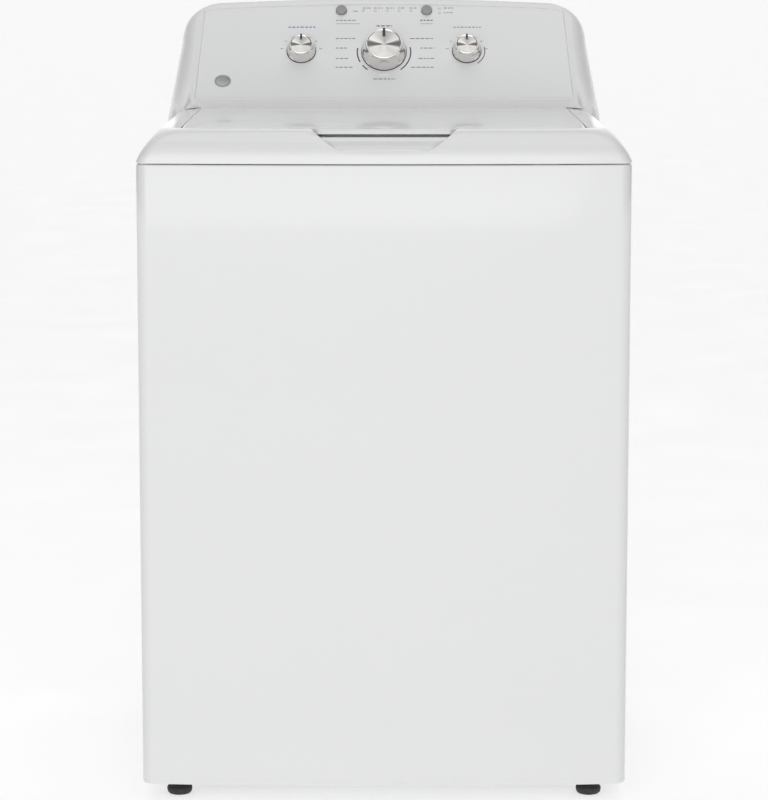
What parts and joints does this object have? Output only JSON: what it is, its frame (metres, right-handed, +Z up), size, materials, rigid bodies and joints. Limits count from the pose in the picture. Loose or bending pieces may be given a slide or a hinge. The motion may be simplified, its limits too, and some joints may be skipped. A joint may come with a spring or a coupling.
{
  "type": "top load washing machine",
  "caption": "Free-standing top load washing machine with a hinged lid, a sloping control console, a hanging tub, a perforated basket and an agitator.",
  "frame": {"origin": "middle of the machine's footprint, on the floor", "axes": "+Z up, the front panel faces -Y, +X to the right as seen from the front"},
  "size_m": [0.686, 0.686, 1.118],
  "materials": {
    "white_enamel": "smooth gloss enamel",
    "white_plastic": "gloss moulded plastic",
    "fascia_grey": "satin printed film",
    "galvanised": "zinc coated sheet",
    "basket_steel": "brushed stainless",
    "knob_metal": "spun and brushed",
    "machined_steel": "turned",
    "cast_alloy": "die cast",
    "black_rubber": "moulded rubber",
    "grey_rubber": "ribbed hose",
    "black_plastic": "fine grain",
    "grey_plastic": "satin",
    "tub_plastic": "filled polypropylene",
    "badge_metal": "dark satin",
    "lamp_lens": "frosted",
    "board_green": "solder mask"
  },
  "bodies": {
    "cabinet": {"cabinet_wrap": "white_enamel", "rear_panel": "galvanised", "base_frame": "galvanised", "foot_studs": "machined_steel", "foot_pads": "black_rubber", "top_cover": "white_enamel", "handle_scoop": "white_enamel", "lid_hinge_bushes": "white_plastic", "lid_lock": "black_plastic", "bleach_dispenser": "white_plastic", "console_shell": "white_plastic", "console_back": "galvanised", "control_fascia": "fascia_grey", "console_badge": "badge_metal", "indicator_lenses": "lamp_lens", "control_board": "board_green", "selector_switches": "black_plastic", "pressure_sensor": "white_plastic", "inlet_valve": "white_plastic", "fill_hose": "grey_rubber", "fill_nozzle": "white_plastic", "cord_gland": "black_plastic", "drain_port": "grey_plastic", "drain_hose": "grey_rubber", "suspension_brackets": "galvanised", "suspension_rods": "machined_steel", "rod_end_caps": "black_plastic", "suspension_springs": "machined_steel", "panel_screws": "machined_steel"},
    "tub": {"outer_tub": "tub_plastic", "tub_ring": "white_plastic", "tub_support": "galvanised", "bearing_housing": "cast_alloy", "tub_bearings": "machined_steel", "tub_seal": "black_rubber", "motor_housing": "cast_alloy", "drive_belt": "black_rubber", "drain_pump": "white_plastic"},
    "basket": {"wash_basket": "basket_steel", "basket_hub": "white_plastic", "balance_ring": "white_plastic", "spin_tube": "machined_steel"},
    "agitator": {"agitator_base": "white_plastic", "agitator_auger": "white_plastic", "agitator_cap": "grey_plastic", "drive_shaft": "machined_steel", "drive_pulley": "cast_alloy"},
    "motor_rotor": {"motor_rotor": "machined_steel"},
    "pump_impeller": {"pump_impeller": "grey_plastic"},
    "lid": {"lid_panel": "white_enamel", "lid_liner": "white_plastic", "hinge_pins": "machined_steel"},
    "cycle_knob": {"cycle_knob": "knob_metal", "cycle_knob_cap": "knob_metal"},
    "water_level_knob": {"water_level_knob": "knob_metal", "water_level_knob_cap": "knob_metal"},
    "temperature_knob": {"temperature_knob": "knob_metal"},
    "option_button": {"option_button": "grey_plastic"},
    "start_button": {"start_button": "grey_plastic"},
    "lock_bolt": {"lock_bolt": "grey_plastic"}
  },
  "joints": [
    {"name": "lid_hinge", "type": "hinge", "parent": "cabinet", "child": "lid", "pos_m": [0, 0.19, 0.944], "axis": [-1, 0, 0], "range_deg": [0, 100]},
    {"name": "tub_bounce", "type": "slide", "parent": "cabinet", "child": "tub", "axis": [0, 0, 1], "range_m": [-0.03, 0], "stiffness_N_per_m": 12000, "springref_m": 0.04, "deforming": ["suspension_springs", "drain_hose"]},
    {"name": "basket_spin", "type": "hinge", "parent": "tub", "child": "basket", "pos_m": [0, -0.01, 0.5], "axis": [0, 0, 1], "continuous": true},
    {"name": "agitator_turn", "type": "hinge", "parent": "tub", "child": "agitator", "pos_m": [0, -0.01, 0.4], "axis": [0, 0, 1], "continuous": true},
    {"name": "motor_spin", "type": "hinge", "parent": "tub", "child": "motor_rotor", "pos_m": [0, 0.16, 0.2], "axis": [0, 0, 1], "continuous": true},
    {"name": "pump_spin", "type": "hinge", "parent": "tub", "child": "pump_impeller", "pos_m": [-0.17, -0.09, 0.23], "axis": [0, 0, 1], "continuous": true},
    {"name": "cycle_knob_turn", "type": "hinge", "parent": "cabinet", "child": "cycle_knob", "pos_m": [0, 0.26513, 1.037], "axis": [0, -0.809, 0.5878], "continuous": true},
    {"name": "water_level_turn", "type": "hinge", "parent": "cabinet", "child": "water_level_knob", "pos_m": [-0.13, 0.26622, 1.0385], "axis": [0, -0.809, 0.5878], "range_deg": [-70, 70]},
    {"name": "temperature_turn", "type": "hinge", "parent": "cabinet", "child": "temperature_knob", "pos_m": [0.13, 0.26622, 1.0385], "axis": [0, -0.809, 0.5878], "range_deg": [-140, 75]},
    {"name": "option_press", "type": "slide", "parent": "cabinet", "child": "option_button", "axis": [0, 0.809, -0.5878], "range_m": [0, 0.0025], "stiffness_N_per_m": 400, "springref_m": -0.002},
    {"name": "start_press", "type": "slide", "parent": "cabinet", "child": "start_button", "axis": [0, 0.809, -0.5878], "range_m": [0, 0.0025], "stiffness_N_per_m": 400, "springref_m": -0.002},
    {"name": "lock_slide", "type": "slide", "parent": "cabinet", "child": "lock_bolt", "axis": [-1, 0, 0], "range_m": [0, 0.007], "stiffness_N_per_m": 150, "springref_m": -0.003}
  ],
  "couplings": [
    {"joint": "motor_spin", "follows": "agitator_turn", "ratio": 5.25}
  ]
}
